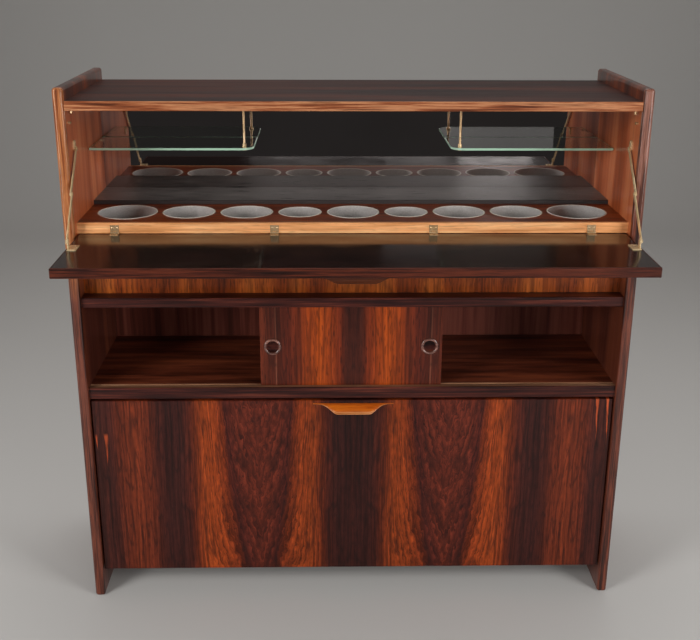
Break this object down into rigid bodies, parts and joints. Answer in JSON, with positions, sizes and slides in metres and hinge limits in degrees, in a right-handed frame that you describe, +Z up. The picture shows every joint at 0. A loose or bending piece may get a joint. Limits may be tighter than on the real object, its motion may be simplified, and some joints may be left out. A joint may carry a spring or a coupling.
{
  "type": "bar cabinet",
  "caption": "Free-standing rosewood bar cabinet with bottle cups, mirror and glass shelves, a fold-out serving shelf on brass stays, a sliding door and a drop-front lower door.",
  "frame": {"origin": "on the floor, in the middle of the room that the cabinet takes up with its shelf folded out", "axes": "+X along the front, +Y from the barkeeper's side to the guests' side, +Z up"},
  "size_m": [1.2, 0.618, 1.168],
  "materials": {
    "rosewood": "satin lacquered veneer",
    "rosewood_pull": "satin, solid",
    "pale_lipping": "satin, solid",
    "black_laminate": "polished",
    "charcoal_laminate": "fine satin",
    "cup_grey": "matt, moulded",
    "mirror": "silvered glass",
    "shelf_glass": "polished",
    "brass": "worn, lacquered",
    "catch_steel": "brushed"
  },
  "bodies": {
    "carcass": {"left_side_panel": "rosewood", "right_side_panel": "rosewood", "top_panel": "rosewood", "back_panel": "rosewood", "bottom_panel": "rosewood", "lower_shelf": "rosewood", "mid_shelf": "rosewood", "deck_board": "rosewood", "deck_lipping": "pale_lipping", "well_front_panel": "rosewood", "serving_slab": "charcoal_laminate", "bar_mirror": "mirror", "left_glass_shelf": "shelf_glass", "right_glass_shelf": "shelf_glass", "left_shelf_hanger": "brass", "right_shelf_hanger": "brass", "hanger_nuts": "brass", "shelf_pins": "brass", "door_track": "pale_lipping", "flap_hinge_fixed_leaves": "brass", "flap_hinge_pins": "brass", "stay_wall_plates": "brass", "flap_stop_studs": "brass", "flap_stop_pegs": "brass", "door_hinge_fixed_leaves": "brass", "door_hinge_pins": "brass", "door_catches": "catch_steel", "carcass_screws": "brass", "bottle_cup_1": "cup_grey", "bottle_cup_2": "cup_grey", "bottle_cup_3": "cup_grey", "bottle_cup_4": "cup_grey", "bottle_cup_5": "cup_grey", "bottle_cup_6": "cup_grey", "bottle_cup_7": "cup_grey", "bottle_cup_8": "cup_grey", "bottle_cup_9": "cup_grey"},
    "flap": {"flap_panel": "rosewood", "flap_laminate": "black_laminate", "flap_pull": "rosewood_pull", "flap_hinge_moving_leaves": "brass", "flap_stay_brackets": "brass", "flap_screws": "brass"},
    "sliding_door": {"sliding_door_panel": "rosewood", "left_finger_pull": "rosewood_pull", "right_finger_pull": "rosewood_pull"},
    "lower_door": {"lower_door_panel": "rosewood", "lower_door_pull": "rosewood_pull", "door_hinge_moving_leaves": "brass", "door_stay_brackets": "brass", "door_strikes": "catch_steel", "door_screws": "brass"},
    "left_flap_stay_upper_link": {"left_flap_stay_upper_link": "brass"},
    "left_flap_stay_lower_link": {"left_flap_stay_lower_link": "brass"},
    "left_door_stay_upper_link": {"left_door_stay_upper_link": "brass"},
    "left_door_stay_lower_link": {"left_door_stay_lower_link": "brass"},
    "right_flap_stay_upper_link": {"right_flap_stay_upper_link": "brass"},
    "right_flap_stay_lower_link": {"right_flap_stay_lower_link": "brass"},
    "right_door_stay_upper_link": {"right_door_stay_upper_link": "brass"},
    "right_door_stay_lower_link": {"right_door_stay_lower_link": "brass"}
  },
  "joints": [
    {"name": "flap_hinge", "type": "hinge", "parent": "carcass", "child": "flap", "pos_m": [0, -0.0555, 0.8675], "axis": [-1, 0, 0], "range_deg": [0, 90]},
    {"name": "sliding_door_slide", "type": "slide", "parent": "carcass", "child": "sliding_door", "axis": [1, 0, 0], "range_m": [-0.374, 0.384]},
    {"name": "lower_door_hinge", "type": "hinge", "parent": "carcass", "child": "lower_door", "pos_m": [0, -0.0475, 0.0675], "axis": [1, 0, 0], "range_deg": [0, 90]},
    {"name": "left_flap_stay_upper_link_pivot", "type": "hinge", "parent": "carcass", "child": "left_flap_stay_upper_link", "pos_m": [-0.5737, -0.022, 1.038], "axis": [1, 0, 0], "range_deg": [0, 97.02]},
    {"name": "left_flap_stay_lower_link_pivot", "type": "hinge", "parent": "flap", "child": "left_flap_stay_lower_link", "pos_m": [-0.5713, -0.173, 0.88], "axis": [1, 0, 0], "range_deg": [0, 37.26]},
    {"name": "left_door_stay_upper_link_pivot", "type": "hinge", "parent": "carcass", "child": "left_door_stay_upper_link", "pos_m": [-0.5737, -0.014, 0.238], "axis": [-1, 0, 0], "range_deg": [0, 97.02]},
    {"name": "left_door_stay_lower_link_pivot", "type": "hinge", "parent": "lower_door", "child": "left_door_stay_lower_link", "pos_m": [-0.5713, -0.035, 0.185], "axis": [-1, 0, 0], "range_deg": [0, 37.26]},
    {"name": "right_flap_stay_upper_link_pivot", "type": "hinge", "parent": "carcass", "child": "right_flap_stay_upper_link", "pos_m": [0.5737, -0.022, 1.038], "axis": [1, 0, 0], "range_deg": [0, 97.02]},
    {"name": "right_flap_stay_lower_link_pivot", "type": "hinge", "parent": "flap", "child": "right_flap_stay_lower_link", "pos_m": [0.5713, -0.173, 0.88], "axis": [1, 0, 0], "range_deg": [0, 37.26]},
    {"name": "right_door_stay_upper_link_pivot", "type": "hinge", "parent": "carcass", "child": "right_door_stay_upper_link", "pos_m": [0.5737, -0.014, 0.238], "axis": [-1, 0, 0], "range_deg": [0, 97.02]},
    {"name": "right_door_stay_lower_link_pivot", "type": "hinge", "parent": "lower_door", "child": "right_door_stay_lower_link", "pos_m": [0.5713, -0.035, 0.185], "axis": [-1, 0, 0], "range_deg": [0, 37.26]}
  ],
  "couplings": [
    {"joint": "left_flap_stay_upper_link_pivot", "follows": "flap_hinge", "ratio": 1.0774},
    {"joint": "left_flap_stay_lower_link_pivot", "follows": "flap_hinge", "ratio": 0.41342},
    {"joint": "left_door_stay_upper_link_pivot", "follows": "lower_door_hinge", "ratio": 1.0774},
    {"joint": "left_door_stay_lower_link_pivot", "follows": "lower_door_hinge", "ratio": 0.41342},
    {"joint": "right_flap_stay_upper_link_pivot", "follows": "flap_hinge", "ratio": 1.0774},
    {"joint": "right_flap_stay_lower_link_pivot", "follows": "flap_hinge", "ratio": 0.41342},
    {"joint": "right_door_stay_upper_link_pivot", "follows": "lower_door_hinge", "ratio": 1.0774},
    {"joint": "right_door_stay_lower_link_pivot", "follows": "lower_door_hinge", "ratio": 0.41342}
  ]
}
